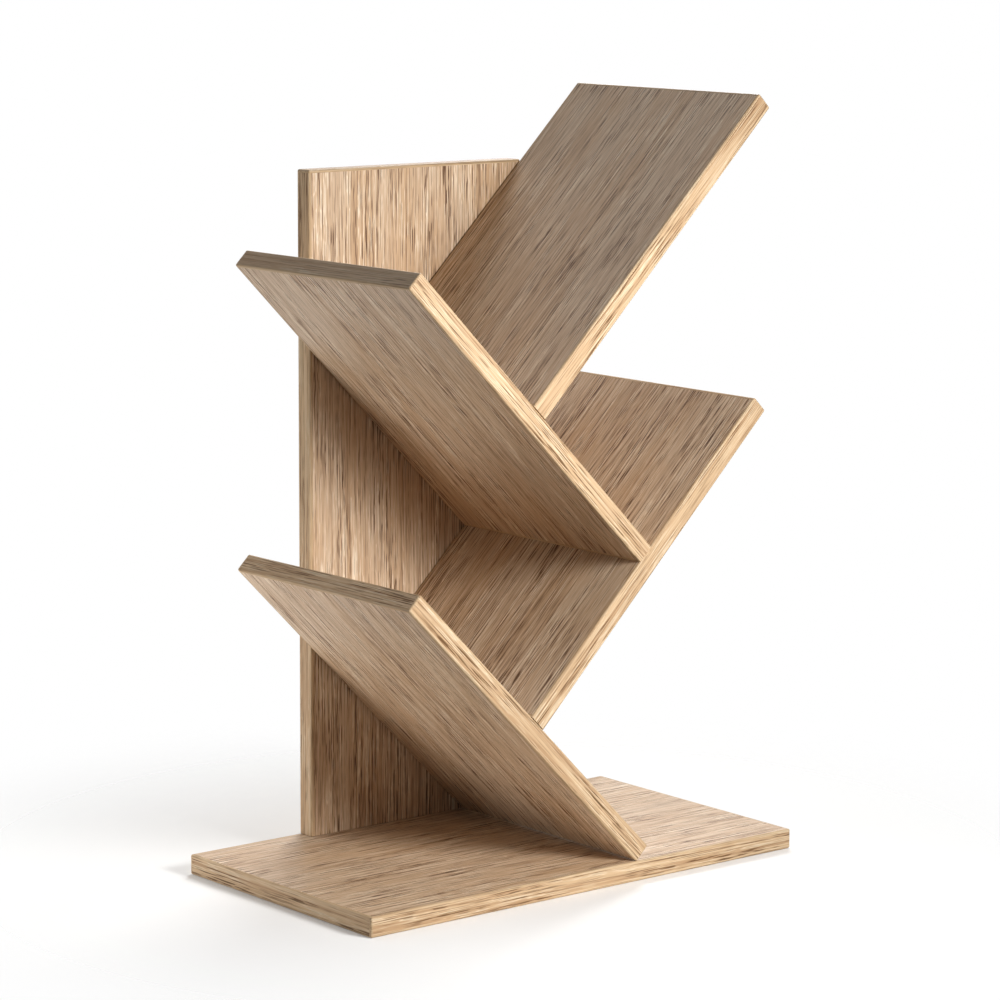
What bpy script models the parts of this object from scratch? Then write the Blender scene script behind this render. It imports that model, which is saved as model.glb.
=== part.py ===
"""Desktop bookshelf of six oak-decor boards: a base, a rear upright and four slanted shelves.

The shelves climb like branches. Each stands square on the middle of the one below, on two dowels, and
is screwed from behind through the upright. Glued bands cover the boards' narrow edges.

Metres, +Z up, +X to the right, the front towards -Y, the origin on the ground under the base's middle.
"""

import math

import bmesh
import bpy
from mathutils import Matrix, Vector

# Boards, at their finished sizes with the edge bands on
BASE_WIDTH = 0.400
BASE_DEPTH = 0.220
BASE_THICKNESS = 0.015
UPRIGHT_WIDTH = 0.200
UPRIGHT_HEIGHT = 0.500
UPRIGHT_THICKNESS = 0.015
SHELF_LENGTH = 0.300
SHELF_THICKNESS = 0.015
LEFT_SHELF_TILT = math.radians(45)  # below the horizontal, towards the right

# Edge bands
BAND_THICKNESS = 0.002
BAND_ROUNDING = 0.0015
BAND_ROUNDING_STEPS = 3

# Countersunk panel screws with a hexagon socket
SCREW_LENGTH = 0.050
SCREW_DIAMETER = 0.0063
SCREW_HEAD_DIAMETER = 0.0100
SCREW_HEAD_RIM = 0.0006
SCREW_TIP_DIAMETER = 0.0035
SCREW_TIP_LENGTH = 0.005
SOCKET_ACROSS_FLATS = 0.004
SOCKET_DEPTH = 0.0025
SHELF_SCREW_PLACES = (0.18, 0.82)  # along the stretch of a shelf that crosses the upright
BASE_SCREW_INSET = 0.020  # from the upright's sides

# Dowels
DOWEL_DIAMETER = 0.008
DOWEL_LENGTH = 0.030
DOWEL_CHAMFER = 0.001
WOOD_UNDER_DOWEL = 0.005  # left below a dowel's hole in a board's face
SHELF_DOWEL_INSET = 0.050  # from a shelf's front and back edges
BASE_DOWEL_INSET = 0.045  # from the upright's sides

# Clearances
JOINT_GAP = 0.0003  # between pieces that touch
HOLE_CLEARANCE = 0.0003  # all round a screw or a dowel
DRILL_START = 0.001  # how far outside the wood a countersink begins

ROUND_SIDES = 16
SMOOTH_ANGLE = math.radians(40)
POINT_TOLERANCE = 1e-6

# Sizes and places that several pieces share
ARRIS_RADIUS = min(BAND_ROUNDING, BAND_THICKNESS - POINT_TOLERANCE)  # within the band
BACK = BASE_DEPTH / 2
UPRIGHT_FRONT = BACK - UPRIGHT_THICKNESS
UPRIGHT_FOOT = BASE_THICKNESS + JOINT_GAP
UPRIGHT_TOP = UPRIGHT_FOOT + UPRIGHT_HEIGHT
SHELF_FRONT = -BASE_DEPTH / 2
SHELF_BACK = UPRIGHT_FRONT - JOINT_GAP
SHELF_DEPTH = SHELF_BACK - SHELF_FRONT
SHELF_STEP = SHELF_THICKNESS / 2 + JOINT_GAP + SHELF_LENGTH / 2  # from one shelf's middle to the next


def clear_scene():
    for obj in list(bpy.data.objects):
        bpy.data.objects.remove(obj)


def finish(name, colour, roughness, metallic=0.0):
    """A plain Principled material."""
    material = bpy.data.materials.new(name)
    material.use_nodes = True
    material.diffuse_color = (*colour, 1.0)
    shader = material.node_tree.nodes["Principled BSDF"]
    shader.inputs["Base Color"].default_value = (*colour, 1.0)
    shader.inputs["Roughness"].default_value = roughness
    shader.inputs["Metallic"].default_value = metallic
    return material


def add_empty(name, placement):
    empty = bpy.data.objects.new(name, None)
    empty.empty_display_size = 0.03
    empty.matrix_world = placement
    bpy.context.scene.collection.objects.link(empty)
    return empty


def add_object(name, mesh, material, parent, placement=Matrix()):
    """An object placed in its parent's frame."""
    obj = bpy.data.objects.new(name, mesh)
    if not mesh.materials:
        mesh.materials.append(material)
    obj.parent = parent
    obj.matrix_local = placement
    bpy.context.scene.collection.objects.link(obj)
    return obj


def mesh_from(bm, name, smooth=False):
    """The bmesh as a mesh with its faces pointing out."""
    bmesh.ops.recalc_face_normals(bm, faces=bm.faces)
    mesh = bpy.data.meshes.new(name)
    bm.to_mesh(mesh)
    bm.free()
    if smooth:
        mesh.shade_smooth()
        mesh.set_sharp_from_angle(angle=SMOOTH_ANGLE)
    return mesh


def block(low, high):
    """A rectangular block between two corners."""
    low, high = Vector(low), Vector(high)
    bm = bmesh.new()
    place = Matrix.Translation((low + high) / 2) @ Matrix.Diagonal(high - low).to_4x4()
    bmesh.ops.create_cube(bm, size=1.0, matrix=place)
    return bm


def turned(profile):
    """A surface turned about Z from points of (radius, height), open at both ends."""
    bm = bmesh.new()
    points = [bm.verts.new((radius, 0, height)) for radius, height in profile]
    lines = [bm.edges.new(pair) for pair in zip(points, points[1:])]
    full_turn = 2 * math.pi
    bmesh.ops.spin(
        bm, geom=points + lines, axis=(0, 0, 1), angle=full_turn, steps=ROUND_SIDES, use_merge=True
    )
    return bm


def screw_profile(clearance=0.0, start=0.0, end=0.0):
    """Outline of a screw that points down from its head at height 0, or of the hole that it fits."""
    head = SCREW_HEAD_DIAMETER / 2 + clearance
    shank = SCREW_DIAMETER / 2 + clearance
    tip = SCREW_TIP_DIAMETER / 2 + clearance
    cone = head - shank
    return [
        (head, start),
        (head, -SCREW_HEAD_RIM),
        (shank, -SCREW_HEAD_RIM - cone),
        (shank, -SCREW_LENGTH + SCREW_TIP_LENGTH),
        (tip, -SCREW_LENGTH - end),
    ]


def screw_mesh():
    """A panel screw, sunk hexagon socket up."""
    bm = turned(screw_profile())
    rim = [edge for edge in bm.edges if edge.is_boundary and edge.verts[0].co.z > -POINT_TOLERANCE]
    tip = [edge for edge in bm.edges if edge.is_boundary and edge not in rim]
    bmesh.ops.contextual_create(bm, geom=tip)
    corner_radius = SOCKET_ACROSS_FLATS / 2 / math.cos(math.radians(30))
    socket = bmesh.ops.create_circle(bm, segments=6, radius=corner_radius)["verts"]
    mouth = list({edge for vert in socket for edge in vert.link_edges})
    bmesh.ops.triangle_fill(bm, edges=rim + mouth, use_beauty=True)
    walls = bmesh.ops.extrude_edge_only(bm, edges=mouth)["geom"]
    floor_points = [item for item in walls if isinstance(item, bmesh.types.BMVert)]
    floor_edges = [item for item in walls if isinstance(item, bmesh.types.BMEdge)]
    bmesh.ops.translate(bm, verts=floor_points, vec=(0, 0, -SOCKET_DEPTH))
    bmesh.ops.contextual_create(bm, geom=[edge for edge in floor_edges if edge.is_boundary])
    return mesh_from(bm, "panel_screw", smooth=True)


def screw_hole_mesh():
    profile = screw_profile(HOLE_CLEARANCE, DRILL_START, HOLE_CLEARANCE)
    bm = turned(profile)
    bmesh.ops.holes_fill(bm, edges=bm.edges)
    return mesh_from(bm, "screw_hole")


def dowel_mesh():
    """A chamfered dowel that stands up from height 0."""
    radius = DOWEL_DIAMETER / 2
    profile = [
        (radius - DOWEL_CHAMFER, DOWEL_LENGTH),
        (radius, DOWEL_LENGTH - DOWEL_CHAMFER),
        (radius, DOWEL_CHAMFER),
        (radius - DOWEL_CHAMFER, 0),
    ]
    bm = turned(profile)
    bmesh.ops.holes_fill(bm, edges=bm.edges)
    return mesh_from(bm, "dowel", smooth=True)


def dowel_hole_mesh():
    radius = DOWEL_DIAMETER / 2 + HOLE_CLEARANCE
    bm = turned([(radius, DOWEL_LENGTH + HOLE_CLEARANCE), (radius, -HOLE_CLEARANCE)])
    bmesh.ops.holes_fill(bm, edges=bm.edges)
    return mesh_from(bm, "dowel_hole")


def drill(hole, boards):
    """Cuts a hole out of each of the given pieces of board."""
    hole.hide_render = True
    hole.display_type = "WIRE"
    for board in boards:
        cut = board.modifiers.new(hole.name, "BOOLEAN")
        cut.object = hole
        cut.operation = "DIFFERENCE"
        cut.solver = "EXACT"


def band_mesh(name, low, high, axis, outer, rounds_ends, butt):
    """An edge band between two corners, rounded outside and at its free ends, but square at x = butt."""
    bm = block(low, high)
    reaches_outside = any if rounds_ends else all
    arrises = [
        edge
        for edge in bm.edges
        if reaches_outside(abs(vert.co[axis] - outer) < POINT_TOLERANCE for vert in edge.verts)
    ]
    if not rounds_ends:
        heights = {edge: [vert.co.z for vert in edge.verts] for edge in arrises}
        arrises = [edge for edge, (a, b) in heights.items() if abs(a - b) < POINT_TOLERANCE]
    if butt is not None:
        arrises = [
            edge for edge in arrises if any(abs(vert.co.x - butt) > POINT_TOLERANCE for vert in edge.verts)
        ]
    bmesh.ops.bevel(
        bm,
        geom=arrises,
        offset=ARRIS_RADIUS,
        segments=BAND_ROUNDING_STEPS,
        profile=0.5,
        affect="EDGES",
    )
    return mesh_from(bm, name)


class Board:
    """A flat board in its own frame: X along its length, Y across it, Z through it, centred on 0.

    bands gives the name of the band on each side that has one, by its side: -x, +x, -y or +y.
    The bands on -y and +y run the whole length, and those on -x and +x fit between them.
    The end at butted_side stays square, to meet another board's face.
    """

    def __init__(self, name, size, placement, bands, finishes, butted_side=None):
        self.name = name
        self.placement = placement
        self.frame = add_empty(f"{name}_frame", placement)
        half = Vector(size) / 2
        bonded = BAND_THICKNESS + JOINT_GAP
        butt = {"-x": -half.x, "+x": half.x}.get(butted_side)
        low = Vector((-half.x + bonded * ("-x" in bands), -half.y + bonded * ("-y" in bands), -half.z))
        high = Vector((half.x - bonded * ("+x" in bands), half.y - bonded * ("+y" in bands), half.z))
        self.core = add_object(name, mesh_from(block(low, high), name), finishes["face"], self.frame)
        self.bands = {}
        for side, title in bands.items():
            axis = "xyz".index(side[1])
            band_low, band_high = low.copy(), high.copy()
            if side[1] == "y":
                band_low.x, band_high.x = -half.x, half.x
            outer = half[axis] if side[0] == "+" else -half[axis]
            inner = outer - math.copysign(BAND_THICKNESS, outer)
            band_low[axis], band_high[axis] = sorted((inner, outer))
            mesh = band_mesh(f"{name}_{title}", band_low, band_high, axis, outer, side[1] == "y", butt)
            self.bands[side] = add_object(mesh.name, mesh, finishes["edge"], self.frame)


def add_base(finishes):
    placement = Matrix.Translation((0, 0, BASE_THICKNESS / 2))
    bands = {"-x": "left_band", "+x": "right_band", "-y": "front_band", "+y": "back_band"}
    return Board("base_board", (BASE_WIDTH, BASE_DEPTH, BASE_THICKNESS), placement, bands, finishes)


def add_upright(finishes):
    """The upright stands on its raw lower edge, with its Z towards the front."""
    middle = Vector((0, (UPRIGHT_FRONT + BACK) / 2, (UPRIGHT_FOOT + UPRIGHT_TOP) / 2))
    placement = Matrix.Translation(middle) @ Matrix.Rotation(math.radians(90), 4, "X")
    bands = {"-x": "left_band", "+x": "right_band", "+y": "top_band"}
    size = (UPRIGHT_WIDTH, UPRIGHT_HEIGHT, UPRIGHT_THICKNESS)
    return Board("upright_panel", size, placement, bands, finishes)


def add_shelves(finishes):
    """The four shelves, each square on the middle of the one before. The lowest stands on its arris."""
    left_turn = Matrix.Rotation(LEFT_SHELF_TILT, 4, "Y")
    right_turn = Matrix.Rotation(LEFT_SHELF_TILT - math.radians(90), 4, "Y")
    left_bands = {"-x": "outer_band", "+x": "inner_band", "-y": "front_band", "+y": "back_band"}
    right_bands = {"-x": "inner_band", "+x": "outer_band", "-y": "front_band", "+y": "back_band"}
    rise = (
        (SHELF_LENGTH / 2 - ARRIS_RADIUS) * math.sin(LEFT_SHELF_TILT)
        + (SHELF_THICKNESS / 2 - ARRIS_RADIUS) * math.cos(LEFT_SHELF_TILT)
        + ARRIS_RADIUS
    )
    middle = Vector((
        -SHELF_STEP * math.sin(LEFT_SHELF_TILT) / 2,
        (SHELF_FRONT + SHELF_BACK) / 2,
        BASE_THICKNESS + JOINT_GAP + rise,
    ))
    shelves = []
    for name in ("lower_left_shelf", "lower_right_shelf", "upper_left_shelf", "upper_right_shelf"):
        on_left = "left" in name
        turn = left_turn if on_left else right_turn
        bands = left_bands if on_left else right_bands
        size = (SHELF_LENGTH, SHELF_DEPTH, SHELF_THICKNESS)
        inner_side = "+x" if on_left else "-x"
        butted_side = inner_side if shelves else None
        shelves.append(Board(name, size, Matrix.Translation(middle) @ turn, bands, finishes, butted_side))
        middle = middle + turn @ Vector((0, 0, SHELF_STEP))
    return shelves


def crossing(shelf):
    """Where a shelf's middle line enters and leaves the upright's face, measured from its middle."""
    middle = shelf.placement.to_translation()
    along = shelf.placement.to_3x3() @ Vector((1, 0, 0))
    start, end = -SHELF_LENGTH / 2, SHELF_LENGTH / 2
    limits = ((0, -UPRIGHT_WIDTH / 2, UPRIGHT_WIDTH / 2), (2, UPRIGHT_FOOT, UPRIGHT_TOP))
    for axis, lowest, highest in limits:
        reach = sorted((edge - middle[axis]) / along[axis] for edge in (lowest, highest))
        start, end = max(start, reach[0]), min(end, reach[1])
    return start, end


def add_fastener(name, meshes, material, placement, boards):
    """A screw or dowel at its place in the world, and its hole in the boards that it passes through."""
    body, hole_body = meshes
    add_object(name, body, material, None, placement)
    hole = add_object(f"{name}_hole", hole_body, material, None, placement)
    drill(hole, boards)


def add_shelf_screws(shelf, upright, meshes, material):
    """Two screws from the upright's back into the shelf's back edge."""
    start, end = crossing(shelf)
    for number, share in enumerate(SHELF_SCREW_PLACES, 1):
        along = start + share * (end - start)
        point = shelf.placement @ Vector((along, 0, 0))
        point.y = BACK
        placement = Matrix.Translation(point) @ Matrix.Rotation(math.radians(-90), 4, "X")
        boards = (upright.core, shelf.bands["+y"], shelf.core)
        add_fastener(f"{shelf.name}_screw_{number}", meshes, material, placement, boards)


def add_shelf_dowels(shelf, shelf_below, meshes, material):
    """Two dowels out of the shelf's inner end into the face of the shelf below."""
    inner_side = next(side for side, band in shelf.bands.items() if "inner" in band.name)
    outwards = 1 if inner_side == "+x" else -1
    deep_end = SHELF_LENGTH / 2 + JOINT_GAP + SHELF_THICKNESS - WOOD_UNDER_DOWEL - HOLE_CLEARANCE
    turn = Matrix.Rotation(math.radians(-90 * outwards), 4, "Y")
    reach = SHELF_DEPTH / 2 - SHELF_DOWEL_INSET
    for title, across in (("front", -reach), ("back", reach)):
        place = Matrix.Translation((outwards * deep_end, across, 0)) @ turn
        boards = (shelf_below.core, shelf.bands[inner_side], shelf.core)
        add_fastener(f"{shelf.name}_dowel_{title}", meshes, material, shelf.placement @ place, boards)


def add_upright_fixings(base, upright, screws, dowels, finishes):
    """Screws up through the base and dowels between base and upright, one of each at either side."""
    middle = (UPRIGHT_FRONT + BACK) / 2
    for title, side in (("left", -1), ("right", 1)):
        boards = (base.core, upright.core)
        screw_x = side * (UPRIGHT_WIDTH / 2 - BASE_SCREW_INSET)
        place = Matrix.Translation((screw_x, middle, 0)) @ Matrix.Rotation(math.pi, 4, "X")
        add_fastener(f"base_screw_{title}", screws, finishes["steel"], place, boards)
        dowel_x = side * (UPRIGHT_WIDTH / 2 - BASE_DOWEL_INSET)
        place = Matrix.Translation((dowel_x, middle, WOOD_UNDER_DOWEL + HOLE_CLEARANCE))
        add_fastener(f"upright_dowel_{title}", dowels, finishes["dowel"], place, boards)


def main():
    clear_scene()
    finishes = {
        "face": finish("oak_decor_face", (0.47, 0.36, 0.25), 0.55),
        "edge": finish("oak_decor_edge_band", (0.62, 0.47, 0.28), 0.5),
        "steel": finish("zinc_plated_steel", (0.60, 0.60, 0.58), 0.35, 1.0),
        "dowel": finish("beech_dowel", (0.65, 0.46, 0.28), 0.6),
    }
    screws = screw_mesh(), screw_hole_mesh()
    dowels = dowel_mesh(), dowel_hole_mesh()
    base = add_base(finishes)
    upright = add_upright(finishes)
    shelves = add_shelves(finishes)
    bpy.context.view_layer.update()
    for shelf in shelves:
        add_shelf_screws(shelf, upright, screws, finishes["steel"])
    for shelf_below, shelf in zip(shelves, shelves[1:]):
        add_shelf_dowels(shelf, shelf_below, dowels, finishes["dowel"])
    add_upright_fixings(base, upright, screws, dowels, finishes)


if __name__ == "__main__":
    main()
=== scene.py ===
"""Looks of the desktop bookshelf, built round its packed frame and laid out as a Blender add-on.

The six boards keep their CAD shapes and get an oak-print face. Edging strips, panel screws and fluted
dowels are modelled anew in place of their plain solids. A pale floor, soft lights and a camera make the
stage. Lengths are in metres, with +X to the right along the front, +Y to the back and +Z up.
"""

import math

import bmesh
import bpy
from bpy.props import FloatProperty, FloatVectorProperty, IntProperty, PointerProperty
from bpy.types import NodeSocket, Operator, Panel, PropertyGroup
from mathutils import Euler, Matrix, Vector


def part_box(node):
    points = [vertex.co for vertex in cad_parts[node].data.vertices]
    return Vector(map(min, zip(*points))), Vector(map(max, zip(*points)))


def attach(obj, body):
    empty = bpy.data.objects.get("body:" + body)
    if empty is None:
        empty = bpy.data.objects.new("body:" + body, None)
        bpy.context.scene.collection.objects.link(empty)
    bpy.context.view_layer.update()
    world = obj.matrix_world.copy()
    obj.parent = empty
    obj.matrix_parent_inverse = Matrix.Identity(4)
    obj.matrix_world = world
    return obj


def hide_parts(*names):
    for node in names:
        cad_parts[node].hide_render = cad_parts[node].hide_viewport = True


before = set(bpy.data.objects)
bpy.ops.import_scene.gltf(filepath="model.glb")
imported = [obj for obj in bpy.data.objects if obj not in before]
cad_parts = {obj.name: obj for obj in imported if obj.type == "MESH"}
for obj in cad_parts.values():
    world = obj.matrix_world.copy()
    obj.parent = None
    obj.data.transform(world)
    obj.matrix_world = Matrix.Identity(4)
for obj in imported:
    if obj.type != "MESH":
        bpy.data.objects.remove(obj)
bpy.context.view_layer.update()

bl_info = {
    "name": "Desktop Bookshelf",
    "version": (1, 0, 0),
    "blender": (4, 5, 0),
    "location": "View3D > Sidebar > Bookshelf",
    "description": "Oak-print boards, edging, screws and dowels of a tree-shaped desktop bookshelf",
    "category": "Object",
}

MM = 0.001
POINT_TOLERANCE = 0.02 * MM
MERGE_DISTANCE = 0.005 * MM

# Each grain direction is the turn that lays X along the grain.
SHELF_TILT = math.radians(45)
QUARTER_TURN = math.radians(90)
GRAIN_TURNS = {
    "level": Euler((0.0, 0.0, 0.0)),
    "upright": Euler((0.0, -QUARTER_TURN, 0.0)),
    "falling": Euler((0.0, SHELF_TILT, 0.0)),
    "rising": Euler((0.0, -SHELF_TILT, 0.0)),
    "depth": Euler((0.0, 0.0, QUARTER_TURN)),
}
BOARD_GRAIN = {
    "base_board": "level",
    "upright_panel": "upright",
    "lower_left_shelf": "falling",
    "lower_right_shelf": "rising",
    "upper_left_shelf": "falling",
    "upper_right_shelf": "rising",
}
BANDS = sorted(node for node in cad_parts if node.endswith("_band"))
SCREWS = sorted(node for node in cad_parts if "_screw_" in node)
DOWELS = sorted(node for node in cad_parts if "_dowel_" in node)

# The fixings that pass through an edging strip, by the side of the board it is on.
DRILLED_SIDES = {"back": "screw", "inner": "dowel"}

# Slow features of wood grain: length along the grain and width across it, and how far the grain drifts.
TONE_STREAK = (260 * MM, 30 * MM)
CLUSTER_STREAK = (70 * MM, 11 * MM)
GROWTH_LENGTH = 220 * MM
DRIFT_STREAK = (260 * MM, 70 * MM)
DRIFT = 3 * MM

# Fineness of round shapes, the sharpest turn that is shaded smooth, and the least facing of a printed face.
HOLE_SIDES = 32
SCREW_SIDES = 48
THREAD_STEPS = 24
SMOOTH_ANGLE = math.radians(35)
PRINTED_FACING = 0.999

# Small features of a panel screw: the cone at the bottom of its socket, the chamfer round the socket's
# mouth, half the width of the thread's ridge as a share of the pitch, and the depth of its root.
SOCKET_CONE = 0.6 * MM
SOCKET_EDGE = 0.15 * MM
RIDGE_SHARE = 0.32
RIDGE_ROOT = 0.1 * MM

# Camera of the photograph, found by fitting the board corners. The image is 1000 x 1000 pixels.
CAMERA_PLACE = (-1.7111, -2.0944, 0.7155)
CAMERA_YAW = math.radians(39.308)
CAMERA_PITCH = math.radians(9.275)
CAMERA_ROLL = math.radians(0.245)
SENSOR_WIDTH = 36.0

# Soft boxes, all white: place, the point each one faces, its side, and its power in watts.
SOFT_BOXES = {
    "key": ((0.04, -0.80, 0.50), (-0.50, 0.0, 0.30), 0.25, 10.2),
    "right": ((0.85, 0.74, 1.20), (0.0, 0.0, 0.28), 0.60, 17.2),
    "left": ((-0.50, 0.30, 0.05), (-0.15, 0.10, 0.45), 0.30, 1.75),
    "back_left": ((-0.50, 0.70, 1.20), (0.0, 0.0, 0.28), 0.60, 2.8),
}
AIR_LIGHT = 0.05
AIR_COLOUR = "#fff1e4"

# The floor lies just under the object, and fades out between two shares of its radius.
FLOOR_DROP = 0.2 * MM
FLOOR_FADE = (0.2, 0.95)
FLOOR_SIDES = 96
BACKDROP_RADIUS = 12.0
BACKDROP_SIDES = 48


def linear(hex_colour):
    """Linear RGB of an sRGB hex colour."""
    channels = (int(hex_colour[place:place + 2], 16) / 255 for place in (1, 3, 5))
    return tuple(c / 12.92 if c <= 0.04045 else ((c + 0.055) / 1.055) ** 2.4 for c in channels)


def colour_property(name, hex_colour, description):
    """A colour that the user may change."""
    return FloatVectorProperty(
        name=name, description=description, subtype="COLOR", size=3, min=0.0, max=1.0,
        default=linear(hex_colour),
    )


def length_property(name, millimetres, description):
    """A length that the user may change."""
    return FloatProperty(
        name=name, description=description, unit="LENGTH", subtype="DISTANCE", min=0.0, precision=5,
        default=millimetres * MM,
    )


class BOOKSHELF_PG_oak(PropertyGroup):
    """Colours and grain sizes of the oak print"""

    face_light: colour_property("Face light", "#c9ad8f", "Ground of the board faces")
    face_warm: colour_property("Face warm", "#c5a481", "Warmer stretches of the ground")
    face_dark: colour_property("Face dark", "#a47e58", "Early wood on the board faces")
    face_pale: colour_property("Face pale", "#f4e3ca", "Pale lines beside the dark ones")
    face_pore: colour_property("Face pore", "#5f4027", "Fine lines and dashes of the board faces")
    edging_light: colour_property("Edging light", "#c9ab87", "Ground of the printed edging")
    edging_dark: colour_property("Edging dark", "#966a43", "Early wood of the printed edging")
    edging_pale: colour_property("Edging pale", "#f3e5c8", "Pale lines beside the dark ones")
    edging_pore: colour_property("Edging pore", "#5c3d20", "Fine lines and dashes of the edging")
    edging_body: colour_property("Edging body", "#c6ac88", "Plain plastic where the print is scraped")
    face_growth_width: length_property("Face growth band", 4.5, "Width of a band on the board faces")
    face_line_length: length_property("Face line length", 55, "Length of a line on the board faces")
    face_line_width: length_property("Face line width", 0.95, "Room it takes across the grain")
    face_dash_length: length_property("Face dash length", 12, "Length of a dash on the board faces")
    face_dash_width: length_property("Face dash width", 0.75, "Room it takes across the grain")
    edging_growth_width: length_property("Edging growth band", 3.2, "Width of a band on the edging")
    edging_line_length: length_property("Edging line length", 60, "Length of a line on the edging")
    edging_line_width: length_property("Edging line width", 0.85, "Room it takes across the grain")
    edging_dash_length: length_property("Edging dash length", 14, "Length of a dash on the edging")
    edging_dash_width: length_property("Edging dash width", 0.7, "Room it takes across the grain")


class BOOKSHELF_PG_edging(PropertyGroup):
    """Sizes of the edging strips"""

    arris_radius: length_property("Arris radius", 1.5, "Rounding of the strip's outer edges")
    arris_steps: IntProperty(
        name="Arris steps", description="Flats across the rounding", default=5, min=1, max=12)
    glue_line: length_property("Glue line", 0.03, "Gap left between a strip and its board")


class BOOKSHELF_PG_fixings(PropertyGroup):
    """Sizes of the panel screws and dowels"""

    thread_diameter: length_property("Thread diameter", 6.3, "Over the crests of the thread")
    thread_core: length_property("Thread core", 4.4, "Between the crests of the thread")
    thread_pitch: length_property("Thread pitch", 3.0, "From one crest to the next")
    thread_start: length_property("Thread start", 13.0, "From the top of the head to the thread")
    tip_length: length_property("Tip length", 5.0, "Tapered end of the screw")
    tip_diameter: length_property("Tip diameter", 3.5, "End of the taper")
    head_rim: length_property("Head rim", 0.6, "Straight rim round the countersunk head")
    socket_flats: length_property("Socket", 4.0, "Across the flats of the hex socket")
    socket_depth: length_property("Socket depth", 2.5, "Depth of the hex socket")
    hole_clearance: length_property("Hole clearance", 0.3, "Play of a fixing in its hole, on the radius")
    dowel_chamfer: length_property("Dowel chamfer", 1.0, "Chamfer of a dowel's ends")
    flute_depth: length_property("Flute depth", 0.35, "Depth of a dowel's glue flutes")
    flutes: IntProperty(
        name="Flutes", description="Glue flutes round a dowel", default=16, min=3, max=60)


class BOOKSHELF_PG_stage(PropertyGroup):
    """Floor, lights and camera"""

    floor_colour: colour_property("Floor", "#fafaf9", "Pale matt floor")
    floor_radius: length_property("Floor radius", 560, "Where the floor has faded into the backdrop")
    lens: FloatProperty(
        name="Lens", description="Focal length of the camera", subtype="DISTANCE_CAMERA", default=133.83)
    brightness: FloatProperty(
        name="Brightness", description="Share of the lights' full power", subtype="FACTOR", default=1.0,
        min=0.0, soft_max=2.0)


def add_node(tree, kind, inputs=None, output=0, **settings):
    """Adds a node with its settings and returns one of its outputs.

    An input, by name or number, is given a value or the socket that it is linked from.
    """
    node = tree.nodes.new(kind)
    for name, value in settings.items():
        setattr(node, name, value)
    for name, value in (inputs or {}).items():
        if isinstance(value, NodeSocket):
            tree.links.new(value, node.inputs[name])
        else:
            node.inputs[name].default_value = value
    return node.outputs[output] if node.outputs else None


def new_material(name):
    """An empty node material and its tree."""
    material = bpy.data.materials.new(name)
    material.use_nodes = True
    material.node_tree.nodes.clear()
    return material, material.node_tree


def opaque(colour):
    """A colour as the four numbers that a colour socket takes."""
    return (*colour, 1.0)


def streaks(tree, place, streak, noise, output=0):
    """Noise drawn out along X into streaks of a length and a width, with the noise's own settings."""
    length, width = streak
    stretched = add_node(tree, "ShaderNodeMapping", {
        "Vector": place, "Scale": (1 / length, 1 / width, 1 / width)})
    return add_node(tree, "ShaderNodeTexNoise", {
        "Vector": stretched, "Scale": 1.0, **noise}, output=output)


def grain_place(tree, grain):
    """Object coordinates turned so that X runs along the grain, with the slow drift of real grain."""
    place = add_node(tree, "ShaderNodeTexCoord", output="Object")
    turned = add_node(tree, "ShaderNodeMapping", {
        "Vector": place, "Rotation": GRAIN_TURNS[grain]}, vector_type="TEXTURE")
    sway = streaks(tree, turned, DRIFT_STREAK, {"Detail": 1.0}, output="Color")
    return add_node(tree, "ShaderNodeVectorMath", {
        0: sway, 1: (0.0, DRIFT, DRIFT), 2: turned}, operation="MULTIPLY_ADD")


def oak_figure(tree, grain, growth_width, line, dash):
    """Figure of straight-grained oak: slow tone, growth bands, dashes, and lines broken by the dashes.

    Line and dash each give the length and width of a streak. Those of real oak are about half as wide:
    they are drawn as wide as they need to be to show.
    """
    place = grain_place(tree, grain)
    noise = {}
    for name, streak, detail in (
            ("tone", TONE_STREAK, 1.0),
            ("growth", (GROWTH_LENGTH, growth_width), 1.0),
            ("cluster", CLUSTER_STREAK, 1.0),
            ("line", line, 0.0),
            ("dash", dash, 0.0)):
        noise[name] = streaks(tree, place, streak, {"Detail": detail, "Roughness": 0.55})

    # Each layer has a noise, the values of it where the layer starts and is full, and a least strength.
    figure = {}
    for name, source, start, full, least in (
            ("tone", "tone", 0.32, 0.68, 0.0),
            ("growth", "growth", 0.36, 0.70, 0.0),
            ("cluster", "cluster", 0.36, 0.62, 0.40),
            ("broken", "dash", 0.40, 0.56, 0.15),
            ("line", "line", 0.52, 0.61, 0.0),
            ("pale", "line", 0.48, 0.39, 0.0),
            ("dash", "dash", 0.58, 0.70, 0.0)):
        figure[name] = add_node(tree, "ShaderNodeMapRange", {
            "Value": noise[source], "From Min": start, "From Max": full, "To Min": least},
            interpolation_type="SMOOTHSTEP")
    for name, gates in (
            ("line", ("cluster", "broken")), ("pale", ("cluster", "broken")), ("dash", ("cluster",))):
        for gate in gates:
            figure[name] = add_node(tree, "ShaderNodeMath", {
                0: figure[name], 1: figure[gate]}, operation="MULTIPLY")
    return figure


def layered_colour(tree, ground, layers):
    """A ground colour with layers over it, each a factor, how much of it counts, and its colour."""
    for factor, strength, colour in layers:
        share = add_node(tree, "ShaderNodeMath", {0: factor, 1: strength}, operation="MULTIPLY")
        ground = add_node(tree, "ShaderNodeMix", {
            "Factor": share, 6: ground, 7: opaque(colour)}, output=2, data_type="RGBA")
    return ground


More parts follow.
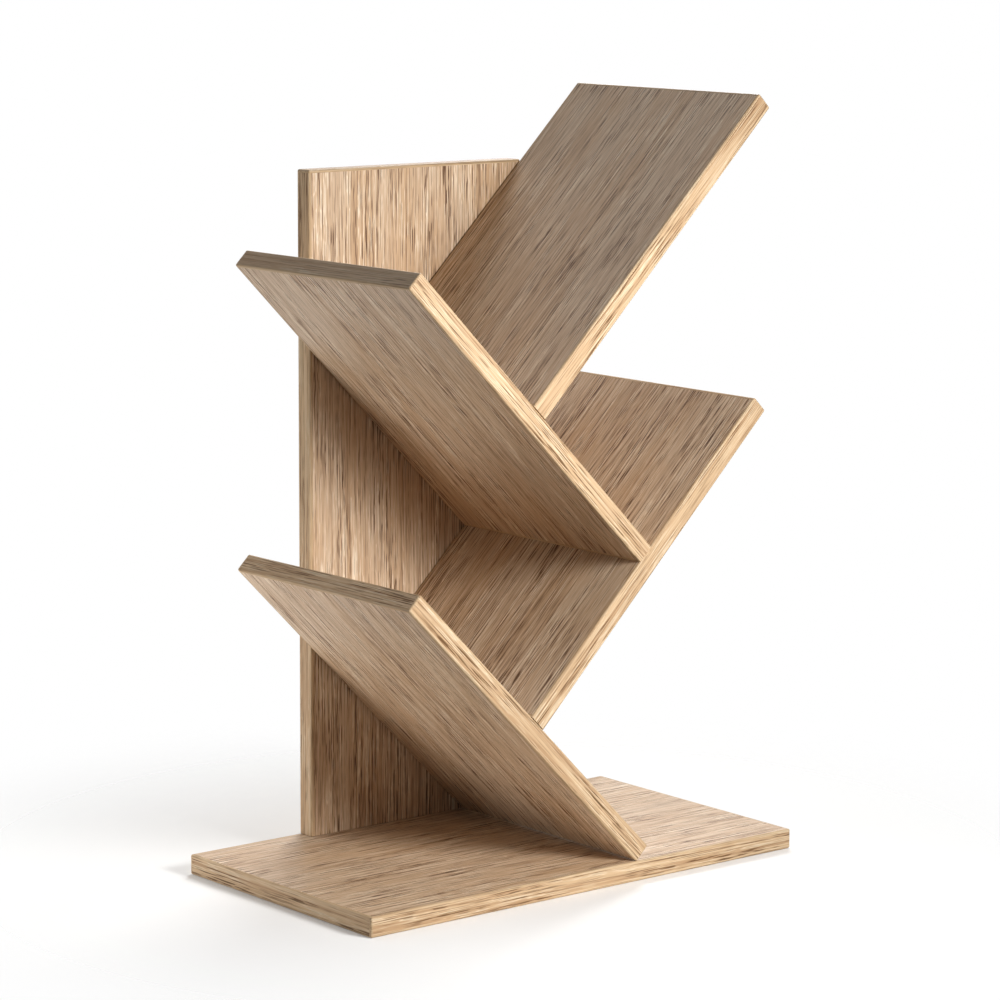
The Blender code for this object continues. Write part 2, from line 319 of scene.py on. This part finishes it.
def oak_melamine(oak, grain):
    """Oak-print melamine face: straight grain under a satin resin skin, with the pores pressed into it.

    The eye gets a soft tan ground, clusters of thin broken lines along the board, brown and pale side by
    side, and a low sheen that breaks up over the pores.
    """
    name = f"Oak print melamine, {grain} grain"
    if name in bpy.data.materials:
        return bpy.data.materials[name]
    material, tree = new_material(name)
    figure = oak_figure(
        tree, grain, oak.face_growth_width, (oak.face_line_length, oak.face_line_width),
        (oak.face_dash_length, oak.face_dash_width))
    colour = layered_colour(tree, opaque(oak.face_light), (
        (figure["tone"], 1.0, oak.face_warm),
        (figure["growth"], 0.26, oak.face_dark),
        (figure["pale"], 0.85, oak.face_pale),
        (figure["dash"], 0.30, oak.face_pore),
        (figure["line"], 1.0, oak.face_pore),
    ))
    hollow = add_node(tree, "ShaderNodeMath", {
        0: figure["line"], 1: figure["dash"]}, operation="MAXIMUM")
    roughness = add_node(tree, "ShaderNodeMapRange", {"Value": hollow, "To Min": 0.45, "To Max": 0.62})
    bump = add_node(tree, "ShaderNodeBump", {
        "Height": hollow, "Distance": 0.08 * MM, "Strength": 0.5}, invert=True)
    shader = add_node(tree, "ShaderNodeBsdfPrincipled", {
        "Base Color": colour, "Roughness": roughness, "Normal": bump, "IOR": 1.5,
        "Specular IOR Level": 0.35})
    add_node(tree, "ShaderNodeOutputMaterial", {"Surface": shader})
    return material


def oak_edging(oak, grain):
    """Oak-print ABS edging: printed on its face, scraped to plainer plastic on its rounded arrises.

    The eye gets a creamier ground than the faces, fine brown lines along the strip, and clean pale
    edges. The strip's print attribute is 1 on the printed face and 0 on the scraped plastic.
    """
    name = f"Oak print ABS edging, {grain} grain"
    if name in bpy.data.materials:
        return bpy.data.materials[name]
    material, tree = new_material(name)
    figure = oak_figure(
        tree, grain, oak.edging_growth_width, (oak.edging_line_length, oak.edging_line_width),
        (oak.edging_dash_length, oak.edging_dash_width))
    printed = add_node(tree, "ShaderNodeAttribute", output="Fac", attribute_name="print")
    scraped = add_node(tree, "ShaderNodeMath", {0: 1.0, 1: printed}, operation="SUBTRACT")
    colour = layered_colour(tree, opaque(oak.edging_light), (
        (figure["growth"], 0.45, oak.edging_dark),
        (figure["pale"], 0.50, oak.edging_pale),
        (figure["dash"], 0.30, oak.edging_pore),
        (figure["line"], 0.85, oak.edging_pore),
        (scraped, 0.35, oak.edging_body),
    ))
    hollow = add_node(tree, "ShaderNodeMath", {0: figure["line"], 1: printed}, operation="MULTIPLY")
    roughness = add_node(tree, "ShaderNodeMapRange", {
        "Value": figure["growth"], "To Min": 0.46, "To Max": 0.54})
    bump = add_node(tree, "ShaderNodeBump", {
        "Height": hollow, "Distance": 0.05 * MM, "Strength": 0.4}, invert=True)
    shader = add_node(tree, "ShaderNodeBsdfPrincipled", {
        "Base Color": colour, "Roughness": roughness, "Normal": bump, "IOR": 1.5,
        "Specular IOR Level": 0.12})
    add_node(tree, "ShaderNodeOutputMaterial", {"Surface": shader})
    return material


def zinc_plated_steel():
    """Bright zinc on cold-formed steel: a cool grey metal with faint blotches from the plating bath.

    The eye gets a clear but slightly clouded reflection. The blotches are about 1.5 mm, and the tumbling
    marks are drawn at 0.4 mm, coarser than real ones, so that they show.
    """
    material, tree = new_material("Zinc-plated steel")
    place = add_node(tree, "ShaderNodeTexCoord", output="Object")
    blotches = add_node(tree, "ShaderNodeTexNoise", {
        "Vector": place, "Scale": 1 / (1.5 * MM), "Detail": 2.0})
    marks = add_node(tree, "ShaderNodeTexNoise", {
        "Vector": place, "Scale": 1 / (0.4 * MM), "Detail": 1.0})
    colour = layered_colour(tree, opaque(linear("#a6aaad")), ((blotches, 1.0, linear("#8f8e86")),))
    roughness = add_node(tree, "ShaderNodeMapRange", {
        "Value": blotches, "From Min": 0.3, "From Max": 0.7, "To Min": 0.24, "To Max": 0.40})
    bump = add_node(tree, "ShaderNodeBump", {"Height": marks, "Distance": 0.02 * MM, "Strength": 0.4})
    shader = add_node(tree, "ShaderNodeBsdfPrincipled", {
        "Base Color": colour, "Metallic": 1.0, "Roughness": roughness, "Normal": bump})
    add_node(tree, "ShaderNodeOutputMaterial", {"Surface": shader})
    return material


def raw_beech(grain):
    """Raw turned beech: pinkish tan, with the short dark flecks that mark this wood.

    The eye gets a dry, matt surface with flecks about 2 mm long and 0.4 mm wide.
    """
    name = f"Raw beech, {grain} grain"
    if name in bpy.data.materials:
        return bpy.data.materials[name]
    material, tree = new_material(name)
    place = grain_place(tree, grain)
    figure = {}
    for kind, streak, start, full in (
            ("fibre", (20 * MM, 0.8 * MM), 0.35, 0.65), ("fleck", (2 * MM, 0.4 * MM), 0.60, 0.72)):
        noise = streaks(tree, place, streak, {"Detail": 1.0})
        figure[kind] = add_node(tree, "ShaderNodeMapRange", {
            "Value": noise, "From Min": start, "From Max": full})
    colour = layered_colour(tree, opaque(linear("#d9b690")), (
        (figure["fibre"], 1.0, linear("#c49c74")),
        (figure["fleck"], 1.0, linear("#8f6543")),
    ))
    roughness = add_node(tree, "ShaderNodeMapRange", {
        "Value": figure["fibre"], "To Min": 0.62, "To Max": 0.75})
    bump = add_node(tree, "ShaderNodeBump", {
        "Height": figure["fibre"], "Distance": 0.05 * MM, "Strength": 0.5})
    shader = add_node(tree, "ShaderNodeBsdfPrincipled", {
        "Base Color": colour, "Roughness": roughness, "Normal": bump, "IOR": 1.5})
    add_node(tree, "ShaderNodeOutputMaterial", {"Surface": shader})
    return material


def studio_paper(stage):
    """Matt white studio paper: plain and pale, and faded into the white backdrop towards its rim."""
    material, tree = new_material("Studio paper")
    place = add_node(tree, "ShaderNodeTexCoord", output="Object")
    tooth = add_node(tree, "ShaderNodeTexNoise", {"Vector": place, "Scale": 1 / (2 * MM), "Detail": 2.0})
    roughness = add_node(tree, "ShaderNodeMapRange", {"Value": tooth, "To Min": 0.85, "To Max": 0.95})
    bump = add_node(tree, "ShaderNodeBump", {"Height": tooth, "Distance": 0.05 * MM, "Strength": 0.2})
    paper = add_node(tree, "ShaderNodeBsdfPrincipled", {
        "Base Color": opaque(stage.floor_colour), "Roughness": roughness, "Normal": bump, "IOR": 1.3})
    distance = add_node(tree, "ShaderNodeVectorMath", {0: place}, output="Value", operation="LENGTH")
    start, full = (share * stage.floor_radius for share in FLOOR_FADE)
    fade = add_node(tree, "ShaderNodeMapRange", {
        "Value": distance, "From Min": start, "From Max": full}, interpolation_type="SMOOTHSTEP")
    clear = add_node(tree, "ShaderNodeBsdfTransparent")
    mixed = add_node(tree, "ShaderNodeMixShader", {0: fade, 1: paper, 2: clear})
    add_node(tree, "ShaderNodeOutputMaterial", {"Surface": mixed})
    return material


def lit_backdrop():
    """White backdrop lit from behind: it glows evenly, so that the object stands before plain white."""
    material, tree = new_material("Lit backdrop")
    glow = add_node(tree, "ShaderNodeEmission", {"Color": (1.0, 1.0, 1.0, 1.0), "Strength": 1.0})
    add_node(tree, "ShaderNodeOutputMaterial", {"Surface": glow})
    return material


def turned_points(node, turn):
    """A CAD node's points in the axes of a board with that turn."""
    back = turn.inverted()
    return [back @ vertex.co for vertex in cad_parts[node].data.vertices]


def corners(points):
    """Lowest and highest corner of some points."""
    return (
        Vector(min(point[axis] for point in points) for axis in range(3)),
        Vector(max(point[axis] for point in points) for axis in range(3)),
    )


def place_piece(name, bm, placement, material, node):
    """Makes the finished piece of a bmesh, in place of a CAD node."""
    bmesh.ops.transform(bm, matrix=placement, verts=bm.verts)
    bmesh.ops.recalc_face_normals(bm, faces=bm.faces)
    mesh = bpy.data.meshes.new(name)
    bm.to_mesh(mesh)
    bm.free()
    mesh.shade_smooth()
    mesh.set_sharp_from_angle(angle=SMOOTH_ANGLE)
    mesh.materials.append(material)
    piece = bpy.data.objects.new(name, mesh)
    bpy.context.scene.collection.objects.link(piece)
    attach(piece, "root")
    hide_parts(node)
    return piece


def facing_side(low, high, core_low, core_high):
    """Axis on which a strip lies beside its board, and 1 or -1 for the way it faces."""
    for axis in range(3):
        if low[axis] > core_high[axis]:
            return axis, 1
        if high[axis] < core_low[axis]:
            return axis, -1
    raise RuntimeError("an edging strip lies beside no edge of its board")


def is_square(edge, points):
    """Whether a CAD band keeps this edge of its block: one of its points then lies on the edge."""
    start, end = (vert.co for vert in edge.verts)
    across = [axis for axis in range(3) if abs(end[axis] - start[axis]) < POINT_TOLERANCE]
    return any(
        all(abs(point[axis] - start[axis]) < POINT_TOLERANCE for axis in across) for point in points)


def ring_edges(ring):
    """Edges of a circle that was just made, in order."""
    return list(dict.fromkeys(edge for vert in ring["verts"] for edge in vert.link_edges))


def fixing_holes(board, side, turn, fixings):
    """Centre and radius of each hole that a board's fixings need through its strip on one side."""
    kind = DRILLED_SIDES.get(side)
    holes = []
    for fixing in SCREWS + DOWELS:
        if kind and fixing.startswith(f"{board}_{kind}_"):
            low, high = corners(turned_points(fixing, turn))
            radius = fixings.thread_diameter / 2 if kind == "screw" else (high.y - low.y) / 2
            holes.append(((low + high) / 2, radius + fixings.hole_clearance))
    return holes


def drill_strip(bm, axis, outward, holes):
    """Drills round holes, each a centre and a radius, through a strip from outer to inner face."""
    bm.normal_update()
    outer = max(bm.faces, key=lambda face: face.normal[axis] * outward * face.calc_area())
    inner = min(bm.faces, key=lambda face: face.normal[axis] * outward * face.calc_area())
    direction = Vector(float(axis == place) for place in range(3))
    turn = direction.to_track_quat("Z", "Y").to_matrix().to_4x4()
    mouths = {}
    for face in (outer, inner):
        mouths[face] = []
        for centre, radius in holes:
            spot = centre.copy()
            spot[axis] = face.verts[0].co[axis]
            ring = bmesh.ops.create_circle(
                bm, cap_ends=False, segments=HOLE_SIDES, radius=radius,
                matrix=Matrix.Translation(spot) @ turn)
            mouths[face].append(ring_edges(ring))
    for rings in zip(mouths[outer], mouths[inner]):
        bmesh.ops.bridge_loops(bm, edges=rings[0] + rings[1])
    for face in (outer, inner):
        border = list(face.edges) + [edge for ring in mouths[face] for edge in ring]
        bmesh.ops.delete(bm, geom=[face], context="FACES_ONLY")
        bmesh.ops.triangle_fill(bm, use_beauty=True, edges=border)


def edging_strip(node, edging, fixings, oak):
    """A strip of edging in place of a CAD band, rounded where that is and drilled for its fixings."""
    board, side, _ = node.rsplit("_", 2)
    turn = GRAIN_TURNS[BOARD_GRAIN[board]].to_matrix()
    points = turned_points(node, turn)
    low, high = corners(points)
    core_low, core_high = corners(turned_points(board, turn))
    axis, outward = facing_side(low, high, core_low, core_high)
    size = high - low

    bm = bmesh.new()
    bmesh.ops.create_cube(bm, size=1.0, matrix=Matrix.LocRotScale((low + high) / 2, None, size))
    rounded = [edge for edge in bm.edges if not is_square(edge, points)]
    inner, core_edge = (low[axis], core_high[axis]) if outward > 0 else (high[axis], core_low[axis])
    glued = [vert for vert in bm.verts if abs(vert.co[axis] - inner) < POINT_TOLERANCE]
    closing = Vector((0.0, 0.0, 0.0))
    closing[axis] = core_edge + outward * edging.glue_line - inner
    bmesh.ops.translate(bm, verts=glued, vec=closing)
    bmesh.ops.bevel(
        bm, geom=rounded, offset=edging.arris_radius, offset_type="OFFSET", affect="EDGES",
        segments=edging.arris_steps, profile=0.5, material=-1)

    holes = fixing_holes(board, side, turn, fixings)
    if holes:
        drill_strip(bm, axis, outward, holes)

    bmesh.ops.recalc_face_normals(bm, faces=bm.faces)
    print_layer = bm.faces.layers.float.new("print")
    for face in bm.faces:
        face[print_layer] = float(face.normal[axis] * outward > PRINTED_FACING)
    along = max(range(3), key=lambda place: size[place])
    grain = (BOARD_GRAIN[board], "depth", "level")[along]
    piece = place_piece(
        node.replace("_band", "_edging"), bm, turn.to_4x4(), oak_edging(oak, grain), node)
    piece.modifiers.new("Flat faces stay flat", "WEIGHTED_NORMAL").keep_sharp = True


def turn_screw(bm, fixings, head_radius, length):
    """Turns the plain body of a screw, down from its countersunk head, which is left open on top."""
    crest = fixings.thread_diameter / 2
    core = fixings.thread_core / 2
    tip = fixings.tip_diameter / 2
    chamfer = fixings.head_rim / 2
    profile = (
        (head_radius - chamfer, 0.0),
        (head_radius, chamfer),
        (head_radius, fixings.head_rim),
        (crest, fixings.head_rim + head_radius - crest),
        (crest, fixings.thread_start - (crest - core)),
        (core, fixings.thread_start),
        (core, length - fixings.tip_length),
        (tip, length - chamfer),
        (tip - chamfer, length),
        (0.0, length),
    )
    verts = [bm.verts.new((radius, 0.0, -depth)) for radius, depth in profile]
    edges = [bm.edges.new(pair) for pair in zip(verts, verts[1:])]
    bmesh.ops.spin(
        bm, geom=verts + edges, cent=(0, 0, 0), axis=(0, 0, 1), angle=math.tau, steps=SCREW_SIDES,
        use_merge=True)
    bmesh.ops.remove_doubles(bm, verts=bm.verts, dist=MERGE_DISTANCE)


def sink_socket(bm, fixings):
    """Closes the top of a screw's head, with a hex socket sunk into it."""
    rim = [edge for edge in bm.edges if edge.is_boundary]
    hexagon = bmesh.ops.create_circle(
        bm, cap_ends=False, segments=6, radius=fixings.socket_flats / math.sqrt(3))
    mouth = ring_edges(hexagon)
    bmesh.ops.bridge_loops(bm, edges=rim + mouth)
    walls = bmesh.ops.extrude_edge_only(bm, edges=mouth)["geom"]
    floor_verts = [part for part in walls if isinstance(part, bmesh.types.BMVert)]
    bmesh.ops.translate(bm, verts=floor_verts, vec=(0.0, 0.0, -fixings.socket_depth))
    floor_edges = [edge for edge in bm.edges if edge.is_boundary]
    floor = bmesh.ops.contextual_create(bm, geom=floor_edges)["faces"]
    bmesh.ops.recalc_face_normals(bm, faces=bm.faces)
    bmesh.ops.poke(bm, faces=floor, offset=-SOCKET_CONE)
    bmesh.ops.bevel(
        bm, geom=mouth, offset=SOCKET_EDGE, offset_type="OFFSET", affect="EDGES", segments=1,
        profile=0.5, material=-1)


def wind_thread(bm, fixings, length):
    """Winds a ridge of triangular section round a screw's core, in whole turns."""
    root = fixings.thread_core / 2 - RIDGE_ROOT
    half = RIDGE_SHARE * fixings.thread_pitch
    start = -(fixings.thread_start + half)
    section = ((root, half), (fixings.thread_diameter / 2, 0.0), (root, -half))
    ridge = [bm.verts.new((radius, 0.0, start + rise)) for radius, rise in section]
    flanks = [bm.edges.new((ridge[place], ridge[place - 1])) for place in range(3)]
    room = length - fixings.tip_length - fixings.thread_start - 2 * half
    turns = math.floor(room / fixings.thread_pitch)
    bmesh.ops.spin(
        bm, geom=ridge + flanks, cent=(0, 0, 0), axis=(0, 0, 1), angle=math.tau * turns,
        dvec=(0, 0, -fixings.thread_pitch / THREAD_STEPS), steps=turns * THREAD_STEPS)
    bmesh.ops.holes_fill(bm, edges=[edge for edge in bm.edges if edge.is_boundary], sides=3)


def panel_screw(node, fixings, material):
    """A panel screw in place of a CAD one: sunk head with a hex socket, plain neck, coarse thread."""
    low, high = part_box(node)
    size = high - low
    along = max(range(3), key=lambda place: size[place])
    bm = bmesh.new()
    turn_screw(bm, fixings, size.x / 2, size[along])
    sink_socket(bm, fixings)
    wind_thread(bm, fixings, size[along])

    # Shelf screws go in from behind with the head towards +Y, base screws from below.
    centre = (low + high) / 2
    if along == 1:
        head = (centre.x, high.y, centre.z)
        turn = Matrix.Rotation(-QUARTER_TURN, 4, "X")
    else:
        head = (centre.x, centre.y, low.z)
        turn = Matrix.Rotation(math.pi, 4, "X")
    place_piece(
        node.replace("_screw_", "_panel_screw_"), bm, Matrix.Translation(head) @ turn, material,
        node)


def fluted_dowel(node, fixings):
    """A fluted beech dowel in place of a plain CAD one, along its board's length."""
    board = next((name for name in BOARD_GRAIN if node.startswith(name)), "upright_panel")
    grain = BOARD_GRAIN[board]
    turn = GRAIN_TURNS[grain].to_matrix()
    low, high = corners(turned_points(node, turn))
    length = high.x - low.x
    radius = (high.y - low.y) / 2
    chamfer = fixings.dowel_chamfer
    taper = (radius - chamfer) / radius

    bm = bmesh.new()
    ring = bmesh.ops.create_circle(
        bm, cap_ends=False, segments=3 * fixings.flutes, radius=radius * taper)
    flute = (radius - fixings.flute_depth) / radius
    bmesh.ops.scale(bm, verts=ring["verts"][::3], vec=(flute, flute, 1.0))
    edges = list(bm.edges)
    for rise, widening in ((chamfer, 1 / taper), (length - 2 * chamfer, 1.0), (chamfer, taper)):
        grown = bmesh.ops.extrude_edge_only(bm, edges=edges)["geom"]
        verts = [part for part in grown if isinstance(part, bmesh.types.BMVert)]
        edges = [part for part in grown if isinstance(part, bmesh.types.BMEdge) and part.is_boundary]
        bmesh.ops.translate(bm, verts=verts, vec=(0.0, 0.0, rise))
        bmesh.ops.scale(bm, verts=verts, vec=(widening, widening, 1.0))
    bmesh.ops.holes_fill(bm, edges=[edge for edge in bm.edges if edge.is_boundary], sides=0)

    centre = Vector((low.x, (low.y + high.y) / 2, (low.z + high.z) / 2))
    placement = turn.to_4x4() @ Matrix.Translation(centre) @ Matrix.Rotation(QUARTER_TURN, 4, "Y")
    place_piece(
        node.replace("_dowel_", "_fluted_dowel_"), bm, placement, raw_beech(grain), node)


def stage_object(name, bm, material):
    """Makes a piece of the stage of a bmesh."""
    mesh = bpy.data.meshes.new(name)
    bm.to_mesh(mesh)
    bm.free()
    mesh.materials.append(material)
    made = bpy.data.objects.new(name, mesh)
    bpy.context.scene.collection.objects.link(made)
    return made


def lay_floor(stage):
    """A round paper floor just under the object."""
    disc = bmesh.new()
    bmesh.ops.create_circle(disc, cap_ends=True, segments=FLOOR_SIDES, radius=stage.floor_radius)
    floor = stage_object("studio_floor", disc, studio_paper(stage))
    floor.location.z = -FLOOR_DROP


def hang_backdrop():
    """A shell all round that is only seen, also in the sheen of the boards: it lights nothing."""
    shell = bmesh.new()
    bmesh.ops.create_uvsphere(
        shell, u_segments=BACKDROP_SIDES, v_segments=BACKDROP_SIDES // 2, radius=BACKDROP_RADIUS)
    bmesh.ops.reverse_faces(shell, faces=shell.faces)
    backdrop = stage_object("studio_backdrop", shell, lit_backdrop())
    backdrop.visible_diffuse = False
    backdrop.visible_transmission = False
    backdrop.visible_shadow = False


def set_lights(scene, brightness):
    """The soft boxes that light the object, and the faint light of the air round it."""
    for name, (place, target, side, power) in SOFT_BOXES.items():
        light = bpy.data.lights.new(f"{name}_light", "AREA")
        light.size = side
        light.energy = power * brightness
        lamp = bpy.data.objects.new(f"{name}_light", light)
        lamp.location = place
        lamp.rotation_euler = (Vector(target) - Vector(place)).to_track_quat("-Z", "Y").to_euler()
        lamp.visible_camera = False
        scene.collection.objects.link(lamp)

    world = bpy.data.worlds.new("Studio air")
    world.use_nodes = True
    world.node_tree.nodes.clear()
    air = add_node(world.node_tree, "ShaderNodeBackground", {
        "Color": opaque(linear(AIR_COLOUR)), "Strength": AIR_LIGHT * brightness})
    add_node(world.node_tree, "ShaderNodeOutputWorld", {"Surface": air})
    scene.world = world


def set_camera(scene, lens):
    """The photograph's camera."""
    camera = bpy.data.cameras.new("photo_camera")
    camera.lens = lens
    camera.sensor_width = SENSOR_WIDTH
    viewer = bpy.data.objects.new("photo_camera", camera)
    viewer.matrix_world = (
        Matrix.Translation(CAMERA_PLACE)
        @ Matrix.Rotation(-CAMERA_YAW, 4, "Z")
        @ Matrix.Rotation(QUARTER_TURN - CAMERA_PITCH, 4, "X")
        @ Matrix.Rotation(CAMERA_ROLL, 4, "Z")
    )
    scene.collection.objects.link(viewer)
    scene.camera = viewer


class BOOKSHELF_OT_boards(Operator):
    """Give each board its oak-print melamine face, with the grain along the board"""

    bl_idname = "bookshelf.boards"
    bl_label = "Finish Boards"

    def execute(self, context):
        for board, grain in BOARD_GRAIN.items():
            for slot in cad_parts[board].material_slots:
                slot.material = oak_melamine(context.scene.bookshelf_oak, grain)
        return {"FINISHED"}


class BOOKSHELF_OT_edging(Operator):
    """Lay a rounded edging strip on every edge of the boards"""

    bl_idname = "bookshelf.edging"
    bl_label = "Lay Edging"

    def execute(self, context):
        scene = context.scene
        for node in BANDS:
            edging_strip(node, scene.bookshelf_edging, scene.bookshelf_fixings, scene.bookshelf_oak)
        return {"FINISHED"}


class BOOKSHELF_OT_screws(Operator):
    """Drive the panel screws through the upright and the base"""

    bl_idname = "bookshelf.screws"
    bl_label = "Drive Screws"

    def execute(self, context):
        material = zinc_plated_steel()
        for node in SCREWS:
            panel_screw(node, context.scene.bookshelf_fixings, material)
        return {"FINISHED"}


class BOOKSHELF_OT_dowels(Operator):
    """Set the fluted dowels in the butt joints"""

    bl_idname = "bookshelf.dowels"
    bl_label = "Set Dowels"

    def execute(self, context):
        for node in DOWELS:
            fluted_dowel(node, context.scene.bookshelf_fixings)
        return {"FINISHED"}


class BOOKSHELF_OT_stage(Operator):
    """Set up the floor, the soft lights and the camera"""

    bl_idname = "bookshelf.stage"
    bl_label = "Set Stage"

    def execute(self, context):
        scene = context.scene
        stage = scene.bookshelf_stage
        lay_floor(stage)
        hang_backdrop()
        set_lights(scene, stage.brightness)
        set_camera(scene, stage.lens)
        scene.view_settings.view_transform = "Standard"
        return {"FINISHED"}


class BOOKSHELF_PT_panel(Panel):
    """Pieces of the bookshelf and what can be changed on them"""

    bl_label = "Desktop Bookshelf"
    bl_space_type = "VIEW_3D"
    bl_region_type = "UI"
    bl_category = "Bookshelf"

    def draw(self, context):
        for operator in OPERATORS:
            self.layout.operator(operator.bl_idname)
        for attribute, group in GROUPS.items():
            box = self.layout.box()
            box.label(text=group.__doc__)
            for name in group.__annotations__:
                box.prop(getattr(context.scene, attribute), name)


GROUPS = {
    "bookshelf_oak": BOOKSHELF_PG_oak,
    "bookshelf_edging": BOOKSHELF_PG_edging,
    "bookshelf_fixings": BOOKSHELF_PG_fixings,
    "bookshelf_stage": BOOKSHELF_PG_stage,
}
OPERATORS = (
    BOOKSHELF_OT_boards,
    BOOKSHELF_OT_edging,
    BOOKSHELF_OT_screws,
    BOOKSHELF_OT_dowels,
    BOOKSHELF_OT_stage,
)
CLASSES = (*GROUPS.values(), *OPERATORS, BOOKSHELF_PT_panel)


def register():
    """Registers the classes and hangs their properties on the scene."""
    for each in CLASSES:
        bpy.utils.register_class(each)
    for attribute, group in GROUPS.items():
        setattr(bpy.types.Scene, attribute, PointerProperty(type=group))


def unregister():
    """Undoes register."""
    for attribute in GROUPS:
        delattr(bpy.types.Scene, attribute)
    for each in reversed(CLASSES):
        bpy.utils.unregister_class(each)


def main():
    """Builds every piece and the stage."""
    register()
    bpy.ops.bookshelf.boards()
    bpy.ops.bookshelf.edging()
    bpy.ops.bookshelf.screws()
    bpy.ops.bookshelf.dowels()
    bpy.ops.bookshelf.stage()


if __name__ == "__main__":
    main()
